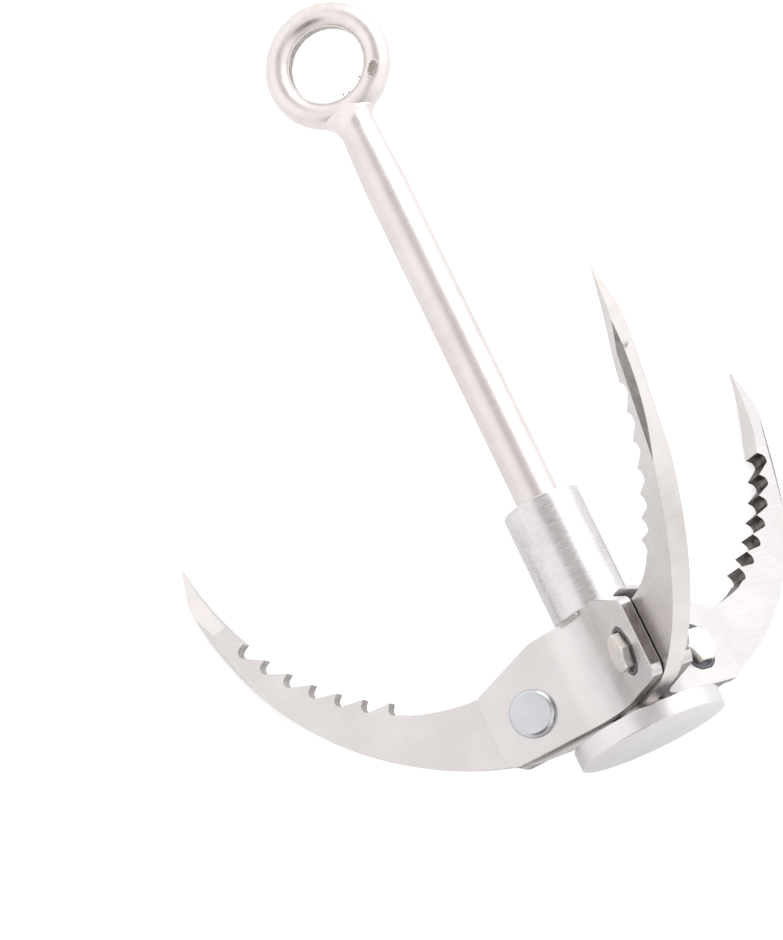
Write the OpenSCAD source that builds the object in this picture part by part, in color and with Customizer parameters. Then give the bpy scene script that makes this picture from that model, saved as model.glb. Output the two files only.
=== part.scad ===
// Folding grapnel anchor: three serrated claws on a plate hub, locked by a disc on a sliding shank.
// Millimetres. +Z runs up the shank from the centre of the disc's flat underside to the eye.

/* [Shank] */
// Diameter of the shank rod
shank_d = 12; // [11.6:0.1:12]
// Diameter of the neck just under the eye
neck_d = 10.4; // [9:0.1:11.6]
// Height of the eye's centre above the disc's underside
eye_z = 206.8; // [190:0.2:230]
// Diameter of the hole drilled through the eye
eye_hole_d = 21.6; // [20.8:0.1:24]
// Diameter of the bar that the eye is bent from
eye_bar_d = 7.6; // [7:0.1:9]

/* [Base disc] */
// Diameter of the disc that locks the claws
disc_d = 41; // [36:0.5:44]
// Thickness of the disc
disc_t = 5.3; // [4.4:0.1:5.5]

/* [Collar] */
// Outside diameter of the guide collar
collar_d = 21.6; // [20:0.1:24]
// Height of the collar's top
collar_top = 69.3; // [64:0.1:90]

/* [Hub plates] */
// Thickness of each folded plate
plate_t = 3; // [2:0.1:3]
// Distance from the axis to the outer edge of a wing
plate_reach = 37.4; // [36:0.1:42]
// Height of the plates' lower edge
plate_foot = 8.4; // [8:0.1:9]
// Height of the plates where the collar sits on them
plate_crown = 36.6; // [36:0.1:37.4]
// Side gap between a claw and each wing
side_gap = 0.3; // [0.2:0.05:0.5]
// Radius of the plate's bend on its hollow side
bend_r = 18; // [17.6:0.1:20]

/* [Claws] */
// Thickness of a claw
claw_t = 5; // [4:0.1:6]
// Distance from the axis to a pivot
pivot_r = 25; // [24.8:0.1:26]
// Height of a pivot
pivot_z = 19.3; // [19:0.1:19.6]
// Number of hooked teeth on a claw
teeth = 7; // [5:1:7]
// Angle that each claw hangs folded up from its locked place, in degrees
claw_droop = [6.3, 0, 4.1]; // [0:0.1:6.5]

/* [Pivots] */
// Diameter of a pivot bolt's round head
head_d = 12.8; // [11:0.1:14]
// Height of that head above the wing
head_t = 1.7; // [1.2:0.1:2.5]
// Width across the flats of the six-sided opening in a wing, whose corners are rounded off
hex_opening = 12.7; // [12.4:0.1:13.4]
// Width across the flats of a pivot nut
nut_width = 9.2; // [8.8:0.1:9.6]
// Height of a pivot nut
nut_t = 3; // [2.4:0.1:4]

/* [Hidden] */
$fn = 64;

satin_steel = [0.80, 0.79, 0.78];
ground_steel = [0.70, 0.69, 0.68];
bright_steel = [0.90, 0.90, 0.90];
weld_steel = [0.55, 0.53, 0.51];

run = 0.05;              // radial running clearance
eps = 0.01;
third = 120;             // angle between claws
first_claw = 180;        // azimuth of claw 1

// disc and shank
spigot_d = 8;            // end of the shank that is fixed in the disc
spigot_l = 3.8;
disc_chamfer = 0.5;
taper_foot = eye_z - 40; // where the shank starts to narrow
taper_head = eye_z - 22;
eye_ring_r = eye_hole_d / 2 + 3.4;      // radius of the bar's centre line
weld_r = 6.8;
weld_foot = eye_z - eye_ring_r - eye_bar_d / 2 - 3.2;

// collar, its stop ring and the shank's travel
travel = 11;             // how far the disc drops from rest
lock_lift = 2.6;         // room above the ring for the disc to rise and lock the claws
ring_t = 1;
ring_groove_d = 11;
ring_od = 16.2;
ring_foot = plate_crown + travel;
well_d = 17;
well_top = ring_foot + ring_t + lock_lift;

// plates: a wing lies each side of a claw
wing_in = claw_t / 2 + side_gap;
wing_out = wing_in + plate_t;
bend_centre = (wing_out + bend_r) / sin(third / 2);
wing_root = bend_centre * cos(third / 2);
wing_tip_z = 29.6;
wing_knee = [18.5, 36.2];
wing_top_r = 2.5;
wing_foot_r = 3.6;

// pivots
shaft_d = 8;
thread_d = 6;
head_chamfer = 1.2;
bush_t = 3.1;            // stands just proud of the wing
bush_seat = 2.5;         // floor of the recess that the nut sits in
nut_cap = 0.8;           // the nut is closed over the bolt's end by this much
bush_face = wing_in + bush_seat;
recess_gap = 0.2;        // room round the nut's corners
corner_trim = 1.04;      // the opening's corners are cut back to this much of half its width

// claw outline, about its pivot, in its locked place
spine_c = [-8, 79.6];
spine_r = 92.1;
throat_c = [2.3, 89.8];
throat_r = 80.5;
pitch_c = [3.5, 88.8];   // the tooth points lie on this circle
pitch_r = 79.1;
first_tooth = -32.2;     // angle of the tooth nearest the tip
tooth_step = 5.48;
root_c = [15, 69.3];     // plain stretch between the last tooth and the hub
root_r = 60;
claw_tip = [81.4, 72.3];
spine_end = [82.4, 62];  // from here the spine runs straight to the tip
heel_z = -11.7;          // flat heel that the disc presses on
heel_x = -18.6;
heel_corner_r = 3;
knuckle_r = 17.9;
shoulder_z = 9.3;
gullet_r = 1.6;
gullet_in = 1.5;
gullet_deep = 1.68;

function across(flats) = flats / 2 / cos(30);

// Six-sided prism with its corners rounded off
module trimmed_hexagon(flats, h) {
    intersection() {
        cylinder(r = across(flats), h = h, $fn = 6);
        cylinder(r = flats / 2 * corner_trim, h = h);
    }
}

function arc(c, r, from, to, n) = [for (i = [0:n]) c + r * [cos(from + (to - from) * i / n), sin(from + (to - from) * i / n)]];
function azimuth(k) = first_claw + third * (k - 1);

// Places a piece drawn about a claw's pivot: X outwards, Y up, Z to the side of the wing with the hexagon.
module at_pivot(k) {
    rotate([0, 0, azimuth(k)]) translate([pivot_r, 0, pivot_z]) rotate([90, 0, 0]) children();
}

module base_disc() {
    color(satin_steel) difference() {
        rotate_extrude() polygon([
            [0, 0], [disc_d / 2 - disc_chamfer, 0], [disc_d / 2, disc_chamfer],
            [disc_d / 2, disc_t - disc_chamfer], [disc_d / 2 - disc_chamfer, disc_t], [0, disc_t]
        ]);
        translate([0, 0, disc_t - spigot_l - 0.1]) cylinder(d = spigot_d + 2 * run, h = spigot_l + 1);
    }
}

// The torus of the eye, standing in the XZ plane
module eye_torus(bar = eye_bar_d) {
    translate([0, 0, eye_z]) rotate([90, 0, 0]) rotate_extrude() translate([eye_ring_r, 0]) circle(d = bar);
}

module shank_rod() {
    color(satin_steel) difference() {
        union() {
            translate([0, 0, disc_t - spigot_l]) cylinder(d = spigot_d, h = spigot_l + 1);
            translate([0, 0, disc_t + run]) cylinder(d = shank_d, h = taper_foot - disc_t - run);
            translate([0, 0, taper_foot]) cylinder(d1 = shank_d, d2 = neck_d, h = taper_head - taper_foot);
            translate([0, 0, taper_head]) cylinder(d = neck_d, h = eye_z - eye_ring_r - taper_head);
        }
        eye_torus();
        translate([0, 0, ring_foot]) difference() {
            cylinder(d = shank_d + 2, h = ring_t);
            translate([0, 0, -1]) cylinder(d = ring_groove_d, h = ring_t + 2);
        }
    }
}

// Snap ring on the shank, hidden in the collar: it keeps the shank from dropping out
module stop_ring() {
    gap_w = 7;
    color(ground_steel) translate([0, 0, ring_foot]) difference() {
        cylinder(d = ring_od, h = ring_t);
        translate([0, 0, -1]) cylinder(d = ring_groove_d, h = ring_t + 2);
        translate([0, -gap_w / 2, -1]) cube([ring_od, gap_w, ring_t + 2]);
    }
}

module eye_ring() {
    color(satin_steel) difference() {
        eye_torus();
        translate([0, eye_bar_d, eye_z]) rotate([90, 0, 0]) cylinder(d = eye_hole_d, h = 2 * eye_bar_d);
    }
}

// Bead between the neck and the ring, no wider across the ring than the neck needs
module eye_weld() {
    bead = 1.7;
    color(weld_steel) difference() {
        intersection() {
            rotate_extrude() polygon([
                [0, weld_foot], [neck_d / 2, weld_foot], [neck_d / 2 + 0.4, weld_foot + 1.4],
                [weld_r - 0.6, weld_foot + 3.6], [weld_r, weld_foot + 5], [weld_r - 0.5, weld_foot + 6.4],
                [0, weld_foot + 7]
            ]);
            eye_torus(eye_bar_d + 2 * bead);
        }
        eye_torus();
        translate([0, 0, taper_head]) cylinder(d = neck_d, h = 2 * eye_ring_r);
    }
}

module collar() {
    lip = 0.8;
    color(satin_steel) difference() {
        rotate_extrude() polygon(concat(
            [[0, plate_crown], [collar_d / 2, plate_crown]],
            arc([collar_d / 2 - lip, collar_top - lip], lip, 0, 90, 6),
            [[0, collar_top]]
        ));
        translate([0, 0, plate_crown - 1]) cylinder(d = shank_d + 2 * run, h = collar_top);
        translate([0, 0, plate_crown - 1]) cylinder(d = well_d, h = well_top - plate_crown + 1);
    }
}

// One bead in each plate's bend, under the collar's rim
module collar_welds() {
    bead = 1.1;
    half_span = 12;
    seat_r = bend_r - 0.02;   // just clear of the bend's flats
    color(weld_steel) for (k = [1:3]) rotate([0, 0, azimuth(k) + third / 2]) intersection() {
        translate([bend_centre, 0, 0]) difference() {
            translate([0, 0, plate_crown - bead]) cylinder(r = seat_r, h = bead);
            translate([0, 0, plate_crown - bead - eps]) cylinder(r1 = seat_r - eps, r2 = seat_r - bead, h = bead + 2 * eps);
        }
        linear_extrude(plate_crown) polygon([
            [bend_centre, 0], bend_centre * [1, 0] - 2 * bend_r * [cos(half_span), sin(half_span)],
            bend_centre * [1, 0] - 2 * bend_r * [cos(half_span), -sin(half_span)]
        ]);
    }
}

// Outline of one wing: X outwards from the axis, Y up
module wing_outline() {
    slope = atan((wing_knee[1] - wing_tip_z) / (plate_reach - wing_knee[0]));
    top_c = [plate_reach - wing_top_r, wing_tip_z + wing_top_r * tan(slope) - wing_top_r / cos(slope)];
    polygon(concat(
        [[wing_root - 1, plate_foot]],
        arc([plate_reach - wing_foot_r, plate_foot + wing_foot_r], wing_foot_r, -90, 0, 8),
        arc(top_c, wing_top_r, 0, 90 - slope, 6),
        [wing_knee, [wing_root, plate_crown], [wing_root - 1, plate_crown]]
    ));
}

// The folded sheet seen from above, about the middle of its bend, with its wings left 2 too long
module plate_plan() {
    long = plate_reach + 2;
    turn = third / 2;
    function wing(side, x, y) = [x * cos(turn) + y * sin(turn), side * (x * sin(turn) - y * cos(turn))];
    middle = [bend_centre, 0];
    polygon(concat(
        [wing(-1, long, wing_out), wing(-1, long, wing_in)],
        arc(middle, bend_r + plate_t, 270 - turn, 90 + turn, 16),
        [wing(1, long, wing_in), wing(1, long, wing_out)],
        arc(middle, bend_r, 90 + turn, 270 - turn, 16)
    ));
}

// A plate spans from claw k to the next claw and wraps the shank with its bend
module hub_plate(k) {
    color(satin_steel) difference() {
        rotate([0, 0, azimuth(k) + third / 2]) translate([0, 0, plate_foot])
            linear_extrude(plate_crown - plate_foot) plate_plan();
        for (side = [0, 1]) rotate([0, 0, azimuth(k + side)])
            translate([0, side == 0 ? wing_out + 1 : -wing_in + 1, 0]) rotate([90, 0, 0])
                linear_extrude(plate_t + 2) difference() {
                    translate([wing_root, 0]) square([plate_reach, 2 * plate_crown]);
                    wing_outline();
                }
        at_pivot(k) translate([0, 0, -wing_out - 1]) cylinder(d = shaft_d + 2 * run, h = plate_t + 2);
        at_pivot(k + 1) translate([0, 0, wing_in - 1]) trimmed_hexagon(hex_opening, plate_t + 2);
    }
}

// One hooked tooth's notch: a square front, a round gullet and a ramp to the next point
module notch(i) {
    here = first_tooth - i * tooth_step;
    ramp = 2 * pitch_r * sin(tooth_step / 2);
    translate(pitch_c) rotate([0, 0, here]) translate([pitch_r, 0]) {
        translate([gullet_deep, -gullet_in]) circle(r = gullet_r, $fn = 32);
        polygon([
            [-1, 0], [0, 0], [gullet_deep, gullet_r - gullet_in],
            [gullet_deep + gullet_r * cos(30), -gullet_in - gullet_r * sin(30)],
            [-ramp * tan(tooth_step / 2), -ramp], [-1.2, -ramp]
        ]);
    }
}

module claw_outline() {
    last = first_tooth - (teeth - 1) * tooth_step;
    last_point = pitch_c + pitch_r * [cos(last), sin(last)];
    last_inner = pitch_c + (pitch_r + gullet_deep + gullet_r * 0.8) * [cos(last - 0.8), sin(last - 0.8)];
    difference() {
        union() {
            intersection() {
                translate(spine_c) circle(r = spine_r, $fn = 200);
                polygon([
                    [0, heel_z], [100, heel_z], [100, spine_end[1]], spine_end, claw_tip, [0, claw_tip[1]]
                ]);
            }
            intersection() {
                circle(r = knuckle_r);
                translate([-knuckle_r, 0]) square([knuckle_r + 16, shoulder_z]);
            }
            translate([heel_x + heel_corner_r, heel_z]) square([-heel_x - heel_corner_r + eps, -heel_z + eps]);
            translate([heel_x, heel_z + heel_corner_r]) square([-heel_x, -heel_z - 2 * heel_corner_r]);
            translate([heel_x + heel_corner_r, heel_z + heel_corner_r]) circle(r = heel_corner_r);
        }
        translate(throat_c) circle(r = throat_r, $fn = 200);
        translate([-30, shoulder_z]) square([44, 100]);
        for (i = [0:teeth - 1]) notch(i);
        intersection() {
            translate(root_c) circle(r = root_r, $fn = 200);
            polygon([[5, 30], [5, 0], last_inner, last_point, last_point + [-1, 3]]);
        }
    }
}

// Flats ground on both sides of the spine towards the tip
module spine_grind() {
    grind_from = [66.5, 24.4];
    grind_to = [83.3, 66.3];
    slope = 30;
    heading = atan2(grind_to[1] - grind_from[1], grind_to[0] - grind_from[0]);
    for (side = [-1, 1])
        translate([grind_from[0], grind_from[1], side * claw_t / 2]) rotate([0, 0, heading])
            rotate([side * slope, 0, 0]) translate([-20, -10, side > 0 ? 0 : -10]) cube([90, 20, 10]);
}

// The last stretch is ground thin from both faces
module tip_grind() {
    grind_from = [78, 52];
    heading = 80;
    length = 20.4;
    slope = atan((claw_t / 2 - 0.35) / length);
    for (side = [-1, 1])
        translate([grind_from[0], grind_from[1], side * claw_t / 2]) rotate([0, 0, heading])
            rotate([0, side * slope, 0]) translate([0, -20, side > 0 ? 0 : -10]) cube([40, 40, 10]);
}

module claw(k) {
    color(ground_steel) at_pivot(k) rotate([0, 0, claw_droop[k - 1]]) difference() {
        linear_extrude(claw_t, center = true) claw_outline();
        translate([0, 0, -claw_t]) cylinder(d = shaft_d + 2 * run, h = 2 * claw_t);
        spine_grind();
        tip_grind();
    }
}

// Round-headed bolt: its head bears on one wing and its thread takes the nut beyond the other
module pivot_bolt(k) {
    end_chamfer = 0.4;
    thread_end = bush_face + nut_t - nut_cap - 0.1;
    color(bright_steel) at_pivot(k) rotate_extrude() polygon([
        [0, -wing_out - head_t], [head_d / 2 - head_chamfer, -wing_out - head_t],
        [head_d / 2, -wing_out - head_t + head_chamfer], [head_d / 2, -wing_out], [shaft_d / 2, -wing_out],
        [shaft_d / 2, bush_face], [thread_d / 2, bush_face], [thread_d / 2, thread_end - end_chamfer],
        [thread_d / 2 - end_chamfer, thread_end], [0, thread_end]
    ]);
}

// Six-sided bush that fills the opening in the wing, carries the bolt's far end and seats its nut
module hex_bush(k) {
    color(ground_steel) at_pivot(k) translate([0, 0, wing_in]) difference() {
        trimmed_hexagon(hex_opening - 0.1, bush_t);
        translate([0, 0, -1]) cylinder(d = shaft_d + 2 * run, h = bush_t + 2);
        translate([0, 0, bush_seat]) cylinder(r = across(nut_width) + recess_gap, h = bush_t);
    }
}

// Closed nut, its corners chamfered down to a round face
module pivot_nut(k) {
    corner = 0.8;
    color(bright_steel) at_pivot(k) translate([0, 0, bush_face]) difference() {
        intersection() {
            cylinder(r = across(nut_width), h = nut_t, $fn = 6);
            cylinder(r1 = across(nut_width) + 2 * nut_t - corner, r2 = across(nut_width) - corner, h = nut_t);
        }
        translate([0, 0, -1]) cylinder(d = thread_d + 2 * run, h = nut_t - nut_cap + 1);
    }
}

base_disc();
shank_rod();
stop_ring();
eye_ring();
eye_weld();
collar();
collar_welds();
hub_plate(1);  // hub_plate_1
hub_plate(2);  // hub_plate_2
hub_plate(3);  // hub_plate_3
claw(1);  // claw_1
claw(2);  // claw_2
claw(3);  // claw_3
pivot_bolt(1);  // pivot_bolt_1
pivot_bolt(2);  // pivot_bolt_2
pivot_bolt(3);  // pivot_bolt_3
hex_bush(1);  // hex_bush_1
hex_bush(2);  // hex_bush_2
hex_bush(3);  // hex_bush_3
pivot_nut(1);  // pivot_nut_1
pivot_nut(2);  // pivot_nut_2
pivot_nut(3);  // pivot_nut_3
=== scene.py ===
import math
import bpy
import bmesh
from mathutils import Matrix, Vector


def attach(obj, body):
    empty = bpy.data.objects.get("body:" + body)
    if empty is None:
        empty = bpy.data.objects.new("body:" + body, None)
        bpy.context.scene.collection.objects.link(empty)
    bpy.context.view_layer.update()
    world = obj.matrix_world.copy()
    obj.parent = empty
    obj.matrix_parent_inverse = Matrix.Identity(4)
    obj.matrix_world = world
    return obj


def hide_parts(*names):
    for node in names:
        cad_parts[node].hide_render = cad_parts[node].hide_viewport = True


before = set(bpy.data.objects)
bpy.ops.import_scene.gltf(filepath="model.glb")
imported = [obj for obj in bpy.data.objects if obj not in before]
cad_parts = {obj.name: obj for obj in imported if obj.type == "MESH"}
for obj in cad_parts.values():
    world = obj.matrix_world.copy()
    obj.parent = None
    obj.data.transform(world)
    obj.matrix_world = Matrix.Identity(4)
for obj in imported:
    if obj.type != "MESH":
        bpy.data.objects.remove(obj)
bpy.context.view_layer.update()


# ---- Locking disc ----
# A 41 mm slice of stainless bar, faced on both sides and broken at the rims. It is fixed on the
# end of the shank and closes up under the claws' heels, which stops them from swinging.
mm = 0.001


def linear(hex_colour):
    """An sRGB hex colour as linear RGBA."""
    parts = [int(hex_colour[i:i + 2], 16) / 255 for i in (1, 3, 5)]
    return [c / 12.92 if c <= 0.04045 else ((c + 0.055) / 1.055) ** 2.4 for c in parts] + [1.0]


def add(tree, kind, settings, inputs):
    """Adds one node: settings are its properties, inputs its sockets' values or the outputs they take."""
    node = tree.nodes.new(kind)
    for name, value in settings.items():
        setattr(node, name, value)
    for name, value in inputs.items():
        if isinstance(value, bpy.types.NodeSocket):
            tree.links.new(value, node.inputs[name])
        else:
            node.inputs[name].default_value = value
    return node


def steel(name, pale, dull, rough, stroke, depth, turn=0.0, cloud=16, marks=0.45):
    """Stainless steel worked with an abrasive. pale and dull are its two tones, rough the two roughnesses
    between its marks, stroke a mark's length in mm along X, Y and Z after a turn about Z, depth how
    strongly the marks stand out, cloud the size in mm of the uneven patches."""
    material = bpy.data.materials.new(name)
    material.use_nodes = True
    tree = material.node_tree
    place = add(tree, "ShaderNodeTexCoord", {}, {})
    turned = add(tree, "ShaderNodeMapping", {},
                 {"Vector": place.outputs["Object"], "Rotation": (0, 0, turn)})
    along = add(tree, "ShaderNodeMapping", {},
                {"Vector": turned.outputs["Vector"], "Scale": [1 / (s * mm) for s in stroke]})
    lines = add(tree, "ShaderNodeTexNoise", {},
                {"Vector": along.outputs["Vector"], "Scale": 1.0, "Detail": 3.0, "Roughness": 0.65})
    patches = add(tree, "ShaderNodeTexNoise", {},
                  {"Vector": place.outputs["Object"], "Scale": 1 / (cloud * mm), "Detail": 3.0})
    uneven = add(tree, "ShaderNodeMix", {"data_type": "FLOAT"},
                 {0: marks, 2: patches.outputs["Fac"], 3: lines.outputs["Fac"]})
    share = add(tree, "ShaderNodeMapRange", {"interpolation_type": "SMOOTHSTEP"},
                {"Value": uneven.outputs[0], "From Min": 0.3, "From Max": 0.7})
    tone = add(tree, "ShaderNodeMix", {"data_type": "RGBA"},
               {0: share.outputs["Result"], 6: linear(dull), 7: linear(pale)})
    gloss = add(tree, "ShaderNodeMapRange", {},
                {"Value": lines.outputs["Fac"], "From Min": 0.3, "From Max": 0.7,
                 "To Min": rough[0], "To Max": rough[1]})
    relief = add(tree, "ShaderNodeBump", {},
                 {"Height": lines.outputs["Fac"], "Strength": depth, "Distance": 0.05 * mm})
    shader = tree.nodes["Principled BSDF"]
    shader.inputs["Metallic"].default_value = 1.0
    tree.links.new(tone.outputs[2], shader.inputs["Base Color"])
    tree.links.new(gloss.outputs["Result"], shader.inputs["Roughness"])
    tree.links.new(relief.outputs["Normal"], shader.inputs["Normal"])
    return material


def revolve(bm, profile, steps=160):
    """Turns a profile of (radius, height) points into a solid about Z, as on a lathe."""
    row = [bm.verts.new((r, 0, z)) for r, z in profile]
    edges = [bm.edges.new(pair) for pair in zip(row, row[1:])]
    bmesh.ops.spin(bm, geom=row + edges, cent=(0, 0, 0), axis=(0, 0, 1), angle=math.tau, steps=steps,
                   use_merge=True)
    bmesh.ops.remove_doubles(bm, verts=bm.verts, dist=0.001)


def break_edges(bm, width, over=30, steps=3, spared=lambda corner: False):
    """Rounds every edge that is sharper than over degrees and has neither end spared."""
    sharp = [e for e in bm.edges if len(e.link_faces) == 2 and e.calc_face_angle(0) > math.radians(over)
             and not any(spared(v.co) for v in e.verts)]
    bmesh.ops.bevel(bm, geom=sharp, offset=width, offset_type="OFFSET", segments=steps, profile=0.5,
                    affect="EDGES", clamp_overlap=True, material=-1)


def finished(bm, name, body, slot_name, stands_for, *materials):
    """Makes the object from a mesh in mm, shades it and fixes it to its body in place of its CAD nodes."""
    bmesh.ops.recalc_face_normals(bm, faces=bm.faces)
    bm.transform(Matrix.Scale(mm, 4))
    mesh = bpy.data.meshes.new(name)
    bm.to_mesh(mesh)
    bm.free()
    mesh.shade_smooth()
    mesh.set_sharp_from_angle(angle=math.radians(40))
    for material in materials:
        mesh.materials.append(material)
    piece = bpy.data.objects.new(name, mesh)
    bpy.context.scene.collection.objects.link(piece)
    even = piece.modifiers.new("even shading", "WEIGHTED_NORMAL")
    even.keep_sharp = True
    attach(piece, body)
    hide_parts(*stands_for)
    return piece


# Grade 304 bar, faced with a fine feed and wiped along X with a flap pad: pale, satin, hardly marked.
faced_disc_steel = steel("faced 304 stainless disc", "#E4E2E2", "#DAD7D8", (0.26, 0.36),
                         (9, 0.35, 0.35), 0.10)

disc = bmesh.new()
disc_r, disc_t, socket_r, socket_floor = 20.5, 5.3, 4.1, 1.4
revolve(disc, [
    (0, 0), (disc_r, 0), (disc_r, disc_t), (socket_r, disc_t), (socket_r, socket_floor), (0, socket_floor),
])
break_edges(disc, 0.45)
finished(disc, "locking_disc", "disc", "disc_steel", ["base_disc"], faced_disc_steel)


# ---- Shank ----
# 12 mm stainless rod, drawn and linished, that slides and turns in the collar. Its foot is fixed in
# the disc and its top is drawn down to a neck under the eye. A groove takes the stop ring.
eye_z = 206.8
drawn_rod_steel = steel("linished 304 stainless rod", "#E4DEDC", "#D9D2CF", (0.30, 0.40),
                        (2.2, 2.2, 0.3), 0.10, cloud=9)

shank = bmesh.new()
rod_r, spigot_r, spigot_foot, spigot_top = 6, 4, 1.5, 5.35
groove_r, groove_low, groove_high = 5.5, 47.6, 48.6
neck_r, taper_foot, neck_foot, neck_top = 5.2, 166.8, 186, 187.5
revolve(shank, [
    (0, spigot_foot), (spigot_r, spigot_foot), (spigot_r, spigot_top), (rod_r, spigot_top),
    (rod_r, groove_low), (groove_r, groove_low), (groove_r, groove_high), (rod_r, groove_high),
    (rod_r, taper_foot), (5.95, 169), (5.7, 176), (5.4, 182),
    (neck_r, neck_foot), (neck_r, neck_top), (3, neck_top + 0.6), (0, neck_top + 0.6),
], 96)
break_edges(shank, 0.15, 50, 2)
finished(shank, "shank", "shank", "shank_steel", ["shank_rod"], drawn_rod_steel)


# ---- Stop ring ----
# A spring steel snap ring in the shank's groove, inside the collar: it bears on the hub when the
# shank has dropped all the way. It is never seen, so it stays as it is in the CAD.
plain_spring_steel = steel("plain spring steel", "#A4A4A6", "#8C8C90", (0.3, 0.4), (1, 1, 1), 0.05)


def repaint(node_name, material):
    """Gives a CAD node its real finish."""
    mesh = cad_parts[node_name].data
    mesh.materials.clear()
    mesh.materials.append(material)


repaint("stop_ring", plain_spring_steel)


# ---- Collar ----
# A turned stainless tube that guides the shank, linished round and round with a coarse belt that
# left short marks. Its top edge is broken and its foot stands on the three folded plates.
belt_marked_steel = steel("belt linished stainless tube", "#E0DEDE", "#CBC8C8", (0.22, 0.34),
                          (3.2, 3.2, 0.3), 0.14, cloud=7, marks=0.6)

collar = bmesh.new()
collar_r, collar_foot, collar_top = 10.8, 36.6, 69.3
bore_r, wide_bore_r, wide_bore_top = 6.05, 8.5, 51.2
revolve(collar, [
    (bore_r, wide_bore_top), (wide_bore_r, wide_bore_top), (wide_bore_r, collar_foot),
    (collar_r, collar_foot), (collar_r, collar_top), (bore_r, collar_top), (bore_r, wide_bore_top),
], 128)
break_edges(collar, 0.6)
finished(collar, "guide_collar", "hub", "collar_steel", ["collar"], belt_marked_steel)

# Three short beads of weld hold the collar from below, one in each plate's bend.
dressed_weld_steel = steel("dressed stainless weld bead", "#E2DEDC", "#CBC5C2", (0.25, 0.4),
                           (0.9, 0.9, 0.9), 0.3, cloud=2)
repaint("collar_welds", dressed_weld_steel)


# ---- Hub plates ----
# Three blanks of 3 mm stainless sheet, each folded to 120 degrees with a soft bend that lies
# against the shank. Neighbouring wings make the forks that the claws swing in.


def copy_of(node_name, into):
    """A CAD node's shape as a clean mesh in mm, its loose triangles joined into flat faces."""
    bm = bmesh.new()
    bm.from_mesh(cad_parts[node_name].data)
    bm.transform(into @ Matrix.Scale(1 / mm, 4))
    bmesh.ops.remove_doubles(bm, verts=bm.verts, dist=0.002)
    bmesh.ops.dissolve_limit(bm, angle_limit=math.radians(0.3), use_dissolve_boundaries=False,
                             verts=bm.verts, edges=bm.edges, delimit=set())
    return bm


bend_top = 36.3
# Darker edge tone: the sheared cut, and on the lower edges painted shade as well.
sheared_edge_and_shade_steel = steel("sheared sheet edge and painted shade", "#A19C9A", "#7D7876", (0.3, 0.45), (0.5, 0.5, 3), 0.4,
                           cloud=3)

for k in (1, 2, 3):
    # Sheet with the mill's satin grain across it. Its ends and its lower edge show the shear's cut, and the
    # lower edge's dark tone is also painted shade of the gap under the plates.
    middle = math.radians(180 + 120 * (k - 1) + 60)
    satin_sheet_steel = steel(f"satin 304 stainless sheet {k}", "#DEDBDA", "#D3CFCE", (0.26, 0.36),
                              (6, 6, 0.35), 0.06, turn=-middle)
    plate = copy_of(f"hub_plate_{k}", Matrix.Identity(4))
    break_edges(plate, 0.3, 40, 3, spared=lambda corner: corner.z > bend_top)
    for face in plate.faces:
        face.normal_update()
        ends = [face.normal.dot(Matrix.Rotation(middle + side, 3, "Z") @ Vector((1, 0, 0)))
                for side in (-math.pi / 3, math.pi / 3)]
        # The lower edge takes the dark cut tone partly as painted shade.
        if face.normal.z < -0.95 or max(ends) > 0.98:
            face.material_index = 1
    finished(plate, f"folded_plate_{k}", "hub", "plate_steel", [f"hub_plate_{k}"], satin_sheet_steel,
             sheared_edge_and_shade_steel)


# ---- Pivots ----
# Each claw turns on an 8 mm bolt with a low round head on one wing. Its far end sits in a six-sided
# bush that fills the opening in the other wing, and a closed hexagon nut holds it there. The bush's dark
# grey is painted shade of the recess.
wing_out, head_t, bush_face, thread_end = 5.8, 1.7, 5.3, 7.4
head_r, head_face_r, sleeve_r, thread_r = 6.4, 5.25, 4, 3
pivot_x, pivot_z = 25, 19.3
turned_bolt_steel = steel("turned A2 stainless bolt", "#CED0D3", "#C2C5C9", (0.20, 0.30), (7, 7, 0.3),
                          0.06, cloud=6)
cold_nut_steel = steel("pressed A2 stainless nut", "#EDE9E4", "#DED9D4", (0.26, 0.36), (1.5, 1.5, 1.5),
                       0.05, cloud=3)
# The bush's dark grey tone is painted shade of the recessed opening.
shade_darkened_bush_steel = steel("stainless bush with painted shade", "#77777D", "#505056", (0.3, 0.42), (1, 1, 1), 0.1)


def at_pivot(k):
    """From a pivot's own axes (X outwards, Y up, Z along the bolt towards the nut) to the anchor's."""
    return (Matrix.Rotation(math.radians(180 + 120 * (k - 1)), 4, "Z")
            @ Matrix.Translation((pivot_x, 0, pivot_z)) @ Matrix.Rotation(math.radians(90), 4, "X"))


for k in (1, 2, 3):
    bolt = bmesh.new()
    revolve(bolt, [
        (0, -wing_out - head_t), (head_face_r, -wing_out - head_t), (6.1, -wing_out - head_t + 0.45),
        (head_r, -wing_out - head_t + 1.0), (head_r, -wing_out), (sleeve_r, -wing_out),
        (sleeve_r, bush_face), (thread_r, bush_face), (thread_r, thread_end - 0.4),
        (thread_r - 0.4, thread_end), (0, thread_end),
    ], 72)
    break_edges(bolt, 0.12, 25, 2)
    bolt.transform(at_pivot(k))
    finished(bolt, f"round_bolt_{k}", "hub", "bolt_steel", [f"pivot_bolt_{k}"], turned_bolt_steel)

    bush = copy_of(f"hex_bush_{k}", Matrix.Identity(4))
    break_edges(bush, 0.15, 40, 2)
    finished(bush, f"hex_sleeve_{k}", "hub", "bush_steel", [f"hex_bush_{k}"], shade_darkened_bush_steel)

    nut = copy_of(f"pivot_nut_{k}", Matrix.Identity(4))
    break_edges(nut, 0.2, 25, 3)
    finished(nut, f"hex_nut_{k}", "hub", "bolt_steel", [f"pivot_nut_{k}"], cold_nut_steel)
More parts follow.
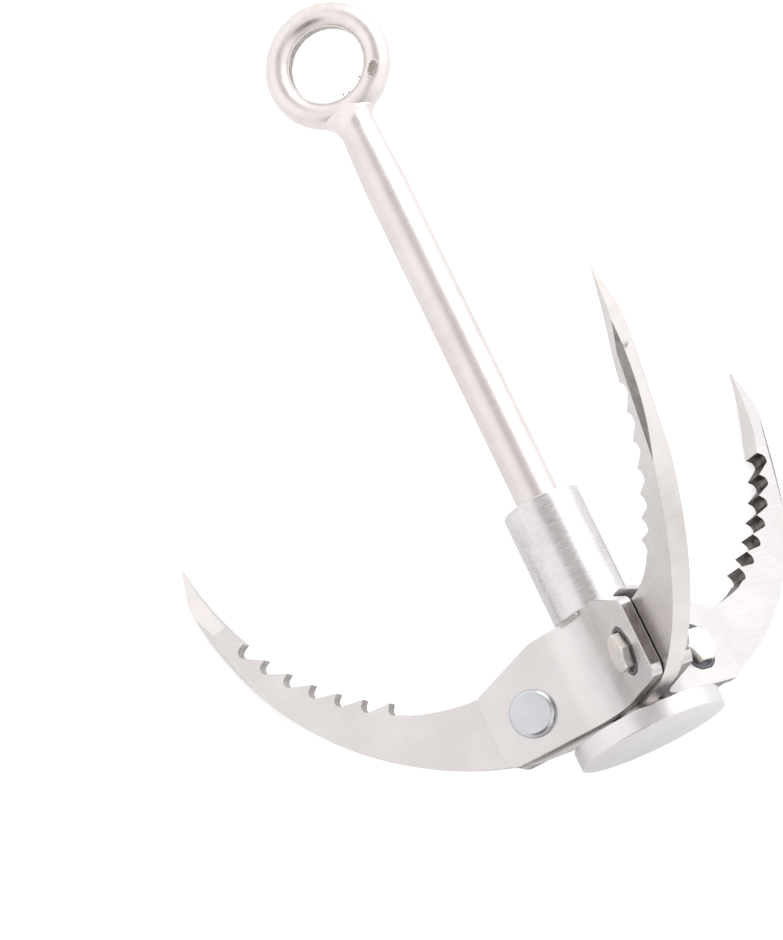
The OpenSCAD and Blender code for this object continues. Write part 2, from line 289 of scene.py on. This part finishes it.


# ---- Claws ----
# Cut from 5 mm stainless plate with seven hooked teeth along the throat, which keep the rough dark
# cut. The faces are satin, the back is ground bright and bevelled to the point on both sides. The
# tones of claw 1's gullets, the bevels and the tips follow how the claws looked, not a known finish:
# claw 1's paler gullets are painted light, the darker bevels on one face are painted dark reflection,
# and the paler tip facets on the other face are partly painted highlight.
droops = (6.3, 0.0, 4.1)
pitch_c, pitch_r, gullet_depth = Vector((3.5, 88.8, 0)), 79.1, 3.6
spine_c, spine_r, tip_from = Vector((-8, 79.6, 0)), 91, 52
gullet, bevel, back, tip_end, tip_side = 1, 2, 3, 4, 5
cut_plate_steel = steel("rough cut plate edge", "#8C8683", "#4A4543", (0.34, 0.5), (1.2, 1.2, 6), 0.5,
                        cloud=2)
# A paler copy of the cut tone for claw 1's gullets: painted light.
lit_copy_cut_steel = steel("cut plate edge with painted light", "#C8C3C0", "#96908D", (0.3, 0.42), (1.2, 1.2, 6), 0.3,
                        cloud=2)
# The bevel's darker tone is painted dark reflection; only the bevels on the +Z face take it.
dark_reflection_bevel_steel = steel("coarse ground bevel with painted dark reflection", "#A29E9C", "#807C7A", (0.28, 0.4), (0.4, 0.4, 3), 0.3,
                           cloud=4)
ground_back_steel = steel("finely ground claw back", "#E9E4E2", "#DED9D6", (0.26, 0.36), (5, 5, 0.4),
                          0.06, cloud=8)
ground_tip_steel = steel("coarsely ground claw tip", "#C2BBB8", "#B4ADAA", (0.3, 0.4), (0.4, 0.4, 4),
                         0.2, cloud=4)
# The tip facets' paler tone is painted highlight; only the lower roughness stands for polish.
tip_highlight_steel = steel("polished claw tip with painted highlight", "#E7E2E0", "#DFD9D7", (0.22, 0.3), (0.5, 5, 5), 0.05, cloud=8)

for k in (1, 2, 3):
    here = at_pivot(k) @ Matrix.Rotation(math.radians(droops[k - 1]), 4, "Z")
    satin_plate_steel = steel(f"satin 304 stainless plate {k}", "#DEDAD9", "#D0CBCA", (0.26, 0.36),
                              (9, 1, 0.4), 0.06, turn=-math.radians(180 + 120 * (k - 1)))
    claw = copy_of(f"claw_{k}", here.inverted())
    for face in claw.faces:
        middle = face.calc_center_median()
        from_pitch = (middle - pitch_c).xy.length - pitch_r
        tilt = abs(face.normal.z)
        if tilt < 0.5 and 0.15 < from_pitch < gullet_depth and middle.x > 20 and middle.y < 48:
            face.material_index = gullet
        # Bevels facing +Z get the darker tone as painted dark reflection.
        elif 0.5 < tilt < 0.9 and face.normal.z > 0:
            face.material_index = bevel
        elif tilt < 0.5 and face.normal.x > 0.98 and face.normal.y > 0.02:
            face.material_index = tip_end
        elif tilt < 0.5 and middle.x > 8 and (middle - spine_c).xy.length > spine_r:
            face.material_index = back
        # Tip facets facing -Z get the paler tone as painted highlight.
        elif -0.9995 < face.normal.z < -0.9 and middle.y > tip_from:
            face.material_index = tip_side
    break_edges(claw, 0.15, 40, 2, spared=lambda corner: corner.y > tip_from)
    claw.transform(here)
    # Claw 1 gets the paler, painted-light copy of the cut tone.
    gullet_steel = lit_copy_cut_steel if k == 1 else cut_plate_steel
    finished(claw, f"serrated_claw_{k}", f"claw_{k}", "claw_steel", [f"claw_{k}"], satin_plate_steel,
             gullet_steel, dark_reflection_bevel_steel, ground_back_steel, ground_tip_steel, tip_highlight_steel)


# ---- Eye ----
# A forged stainless ring for the rope, its hole drilled through so that a narrow flat land runs
# round the inside. It is welded on the neck and polished by hand after.
polished_eye_steel = steel("hand polished stainless ring", "#E8E2E0", "#DDD6D3", (0.28, 0.36), (3, 3, 3),
                            0.06, cloud=6)
drilled_land_steel = steel("drilled stainless land", "#B9B2AC", "#857F79", (0.3, 0.45), (0.5, 3, 0.5), 0.6,
                           cloud=2)
eye_ring_r, eye_bar_r, eye_hole_r = 14.2, 3.8, 10.8

eye = bmesh.new()
bar = bmesh.ops.create_circle(eye, cap_ends=False, segments=48, radius=eye_bar_r,
                              matrix=Matrix.Translation((eye_ring_r, 0, 0)))["verts"]
for v in bar:
    v.co.x = max(v.co.x, eye_hole_r)
bmesh.ops.spin(eye, geom=eye.verts[:] + eye.edges[:], cent=(0, 0, 0), axis=(0, 1, 0), angle=math.tau,
               steps=128, use_merge=True)
bmesh.ops.remove_doubles(eye, verts=eye.verts, dist=0.001)
for face in eye.faces:
    middle = face.calc_center_median()
    if math.hypot(middle.x, middle.z) < eye_hole_r + 0.02:
        face.material_index = 1

# The weld left an unpolished undercut on the front of the ring, where its toe ends on the right.
undercut = Vector((11.5, -3.6, -8.6))
for v in eye.verts:
    away = v.co - undercut
    near = 1 - math.hypot(away.dot(Vector((0.8, 0.5, -0.6))), 0.6 * away.dot(Vector((0.6, 0, 0.8)))) / 1.5
    if near > 0 and v.co.y < 0:
        v.co += Vector((0.1, 1.0, 0)) * 0.55 * min(1, near * 2.2)
        for face in v.link_faces:
            if near > 0.3:
                face.material_index = 1
break_edges(eye, 0.12, 35, 2)
eye.transform(Matrix.Translation((0, 0, eye_z)))
finished(eye, "rope_eye", "shank", "eye_steel", ["eye_ring"], polished_eye_steel, drilled_land_steel)


# ---- Eye weld ----
# The bead that joins the ring to the neck, ground to a long fillet on one side and left short on
# the other, then polished over with the ring.
def fillet(z, radius, starts):
    """Distance from the shank's axis to a fillet of that radius, which leaves the neck at starts."""
    up = min(max(z - starts, 0), radius * 0.92)
    return neck_r + radius - math.sqrt(radius ** 2 - up ** 2)


weld = bmesh.new()
section = bmesh.ops.create_circle(weld, cap_ends=True, segments=48, radius=1.0,
                                  matrix=Matrix.Translation((0, 0, 183.6)))["verts"]
heights = [183.6, 184.6, 185.6, 186.6, 187.4, 188.2, 189, 189.7, 190.3, 190.9, 191.5, 192.2, 193, 193.8,
           194.6]
rows = [section]
for lower, upper in zip(heights, heights[1:]):
    edges = list({e for v in rows[-1] for e in v.link_edges if e.other_vert(v) in rows[-1]})
    grown = bmesh.ops.extrude_edge_only(weld, edges=edges)["geom"]
    rows.append([v for v in grown if isinstance(v, bmesh.types.BMVert)])
    bmesh.ops.translate(weld, verts=rows[-1], vec=(0, 0, upper - lower))
for row, z in zip(rows, heights):
    inside = max(0, z - 191.3)
    left = fillet(z, 8, 184.4) - inside * 1.1
    right = fillet(z, 3, 187.5) - inside * 0.9
    deep = neck_r - 0.2 * max(0, z - 188) ** 1.22
    for v in row:
        around = math.atan2(v.co.y, v.co.x)
        reach = right if v.co.x > 0 else left
        skin = 0.07 + 0.07 * math.sin(5 * around + z) * math.sin(2.3 * z)
        v.co.x *= reach + skin
        v.co.y *= deep + skin
bmesh.ops.contextual_create(weld, geom=rows[-1])
finished(weld, "eye_weld_bead", "shank", "weld_steel", ["eye_weld"], polished_eye_steel)

# Beads of spatter left inside the ring over the weld. The outermost stand clear of the land.
spatter = bmesh.new()
spatter_r = eye_hole_r - 0.08
for i in range(16):
    around = math.radians(-108 + 4.6 * i + 6 * math.sin(3 * i))
    spot = Vector((spatter_r * math.cos(around), 2.3 * math.sin(7 * i) - 0.6,
                   eye_z + spatter_r * math.sin(around)))
    bmesh.ops.create_icosphere(spatter, subdivisions=2, radius=0.16 + 0.12 * math.sin(5 * i) ** 2,
                               matrix=Matrix.Translation(spot))
finished(spatter, "weld_spatter", "shank", "weld_steel", [], cut_plate_steel)


# ---- Table, studio and camera ----
# The anchor lies on a pale table on the backs of two claws, where it balances. The table is
# one-sided, so it is there from above and never hides the anchor from below.
rests_on = [Vector(spot) * mm for spot in ((-88.8, 2.5, 52.8), (42.8, 79.2, 50.3), (48.9, 89.8, 90.2))]
up = (rests_on[1] - rests_on[0]).cross(rests_on[2] - rests_on[0]).normalized()
if up.y > 0:
    up.negate()
table = bmesh.new()
bmesh.ops.create_grid(table, x_segments=1, y_segments=1, size=4)
table.transform(Matrix.Translation(rests_on[0] - up * 0.3 * mm)
                @ up.to_track_quat("Z", "Y").to_matrix().to_4x4())
table_mesh = bpy.data.meshes.new("table")
table.to_mesh(table_mesh)
table.free()
pale_table = bpy.data.materials.new("pale matt table")
pale_table.use_nodes = True
tree = pale_table.node_tree
tree.nodes.clear()
side = add(tree, "ShaderNodeNewGeometry", {}, {})
matt = add(tree, "ShaderNodeBsdfDiffuse", {}, {"Color": linear("#EFEFEF")})
looked_at = add(tree, "ShaderNodeLightPath", {}, {})
lift = add(tree, "ShaderNodeMapRange", {},
           {"Value": looked_at.outputs["Is Camera Ray"], "To Min": 0.03, "To Max": 0.42})
lit = add(tree, "ShaderNodeEmission", {}, {"Color": linear("#FFFFFF"), "Strength": lift.outputs[0]})
lit_matt = add(tree, "ShaderNodeAddShader", {}, {0: matt.outputs[0], 1: lit.outputs[0]})
clear = add(tree, "ShaderNodeBsdfTransparent", {}, {})
both = add(tree, "ShaderNodeMixShader", {}, {0: side.outputs["Backfacing"], 1: lit_matt.outputs[0],
                                               2: clear.outputs[0]})
add(tree, "ShaderNodeOutputMaterial", {}, {"Surface": both.outputs[0]})
table_mesh.materials.append(pale_table)
floor = bpy.data.objects.new("table", table_mesh)
bpy.context.scene.collection.objects.link(floor)


camera_azimuth = -79.4


def toward(azimuth, height):
    """The direction at that azimuth from where the camera stands, and that height, in degrees."""
    a, h = math.radians(azimuth + camera_azimuth), math.radians(height)
    return Vector((math.cos(a) * math.cos(h), math.sin(a) * math.cos(h), math.sin(h)))


# Bright walls with a window to the right, a greyer gap behind the camera, greyer sides and two darker
# patches below. What the camera sees past the table is plain white.
studio = bpy.data.worlds.new("studio")
bpy.context.scene.world = studio
studio.use_nodes = True
tree = studio.node_tree
tree.nodes.clear()
seen = add(tree, "ShaderNodeTexCoord", {}, {})


def patch(so_far, centre, radius, soft, value):
    """Paints a soft round patch of the studio: centre a direction, radius and soft in degrees."""
    lined_up = add(tree, "ShaderNodeVectorMath", {"operation": "DOT_PRODUCT"},
                   {0: seen.outputs["Generated"], 1: centre})
    share = add(tree, "ShaderNodeMapRange", {"interpolation_type": "SMOOTHSTEP"},
                {"Value": lined_up.outputs["Value"], "From Min": math.cos(math.radians(radius + soft)),
                 "From Max": math.cos(math.radians(max(radius - soft, 1)))})
    mixed = add(tree, "ShaderNodeMix", {"data_type": "RGBA"}, {0: share.outputs["Result"], 7: value})
    if isinstance(so_far, bpy.types.NodeSocket):
        tree.links.new(so_far, mixed.inputs[6])
    else:
        mixed.inputs[6].default_value = so_far
    return mixed.outputs[2]


walls = [1.22, 1.21, 1.21, 1]
window = [1.5, 1.5, 1.53, 1]
sides = [0.98, 0.96, 0.96, 1]
dark_gap = [0.68, 0.645, 0.64, 1]
dark_below = [0.22, 0.20, 0.20, 1]
low = [0.78, 0.76, 0.76, 1]
sky = patch(walls, toward(-60, -75), 38, 14, low)
sky = patch(sky, toward(77, 18), 29, 8, window)
sky = patch(sky, toward(8, 12), 24, 5, dark_gap)
sky = patch(sky, toward(138, 12), 26, 8, sides)
sky = patch(sky, toward(-128, 12), 24, 10, sides)
sky = patch(sky, toward(-22, -34), 20, 10, dark_below)
rays = add(tree, "ShaderNodeLightPath", {}, {})
backdrop = add(tree, "ShaderNodeMix", {"data_type": "RGBA"},
               {0: rays.outputs["Is Camera Ray"], 6: sky, 7: [1.0, 1.0, 1.0, 1]})
glow = add(tree, "ShaderNodeBackground", {}, {"Color": backdrop.outputs[2], "Strength": 1.0})
add(tree, "ShaderNodeOutputWorld", {}, {"Surface": glow.outputs[0]})

softbox = bpy.data.lights.new("softbox", "AREA")
softbox.shape = "RECTANGLE"
softbox.size = 1.0
softbox.size_y = 1.0
softbox.energy = 4
lamp = bpy.data.objects.new("softbox", softbox)
lamp.location = Vector((0, 0, 80 * mm)) + toward(62, 35) * 1.1
lamp.rotation_euler = (Vector((0, 0, 80 * mm)) - lamp.location).to_track_quat("-Z", "Y").to_euler()
bpy.context.scene.collection.objects.link(lamp)

lens = bpy.data.cameras.new("camera")
lens.sensor_width = 36
lens.lens = 124.113
camera = bpy.data.objects.new("camera", lens)
camera.location = Vector((154.125, -821.313, -125.606)) * mm
camera.rotation_euler = [math.radians(turn) for turn in (106.3, 24.471, 19.714)]
bpy.context.scene.collection.objects.link(camera)
bpy.context.scene.camera = camera
bpy.context.scene.view_settings.view_transform = "Standard"
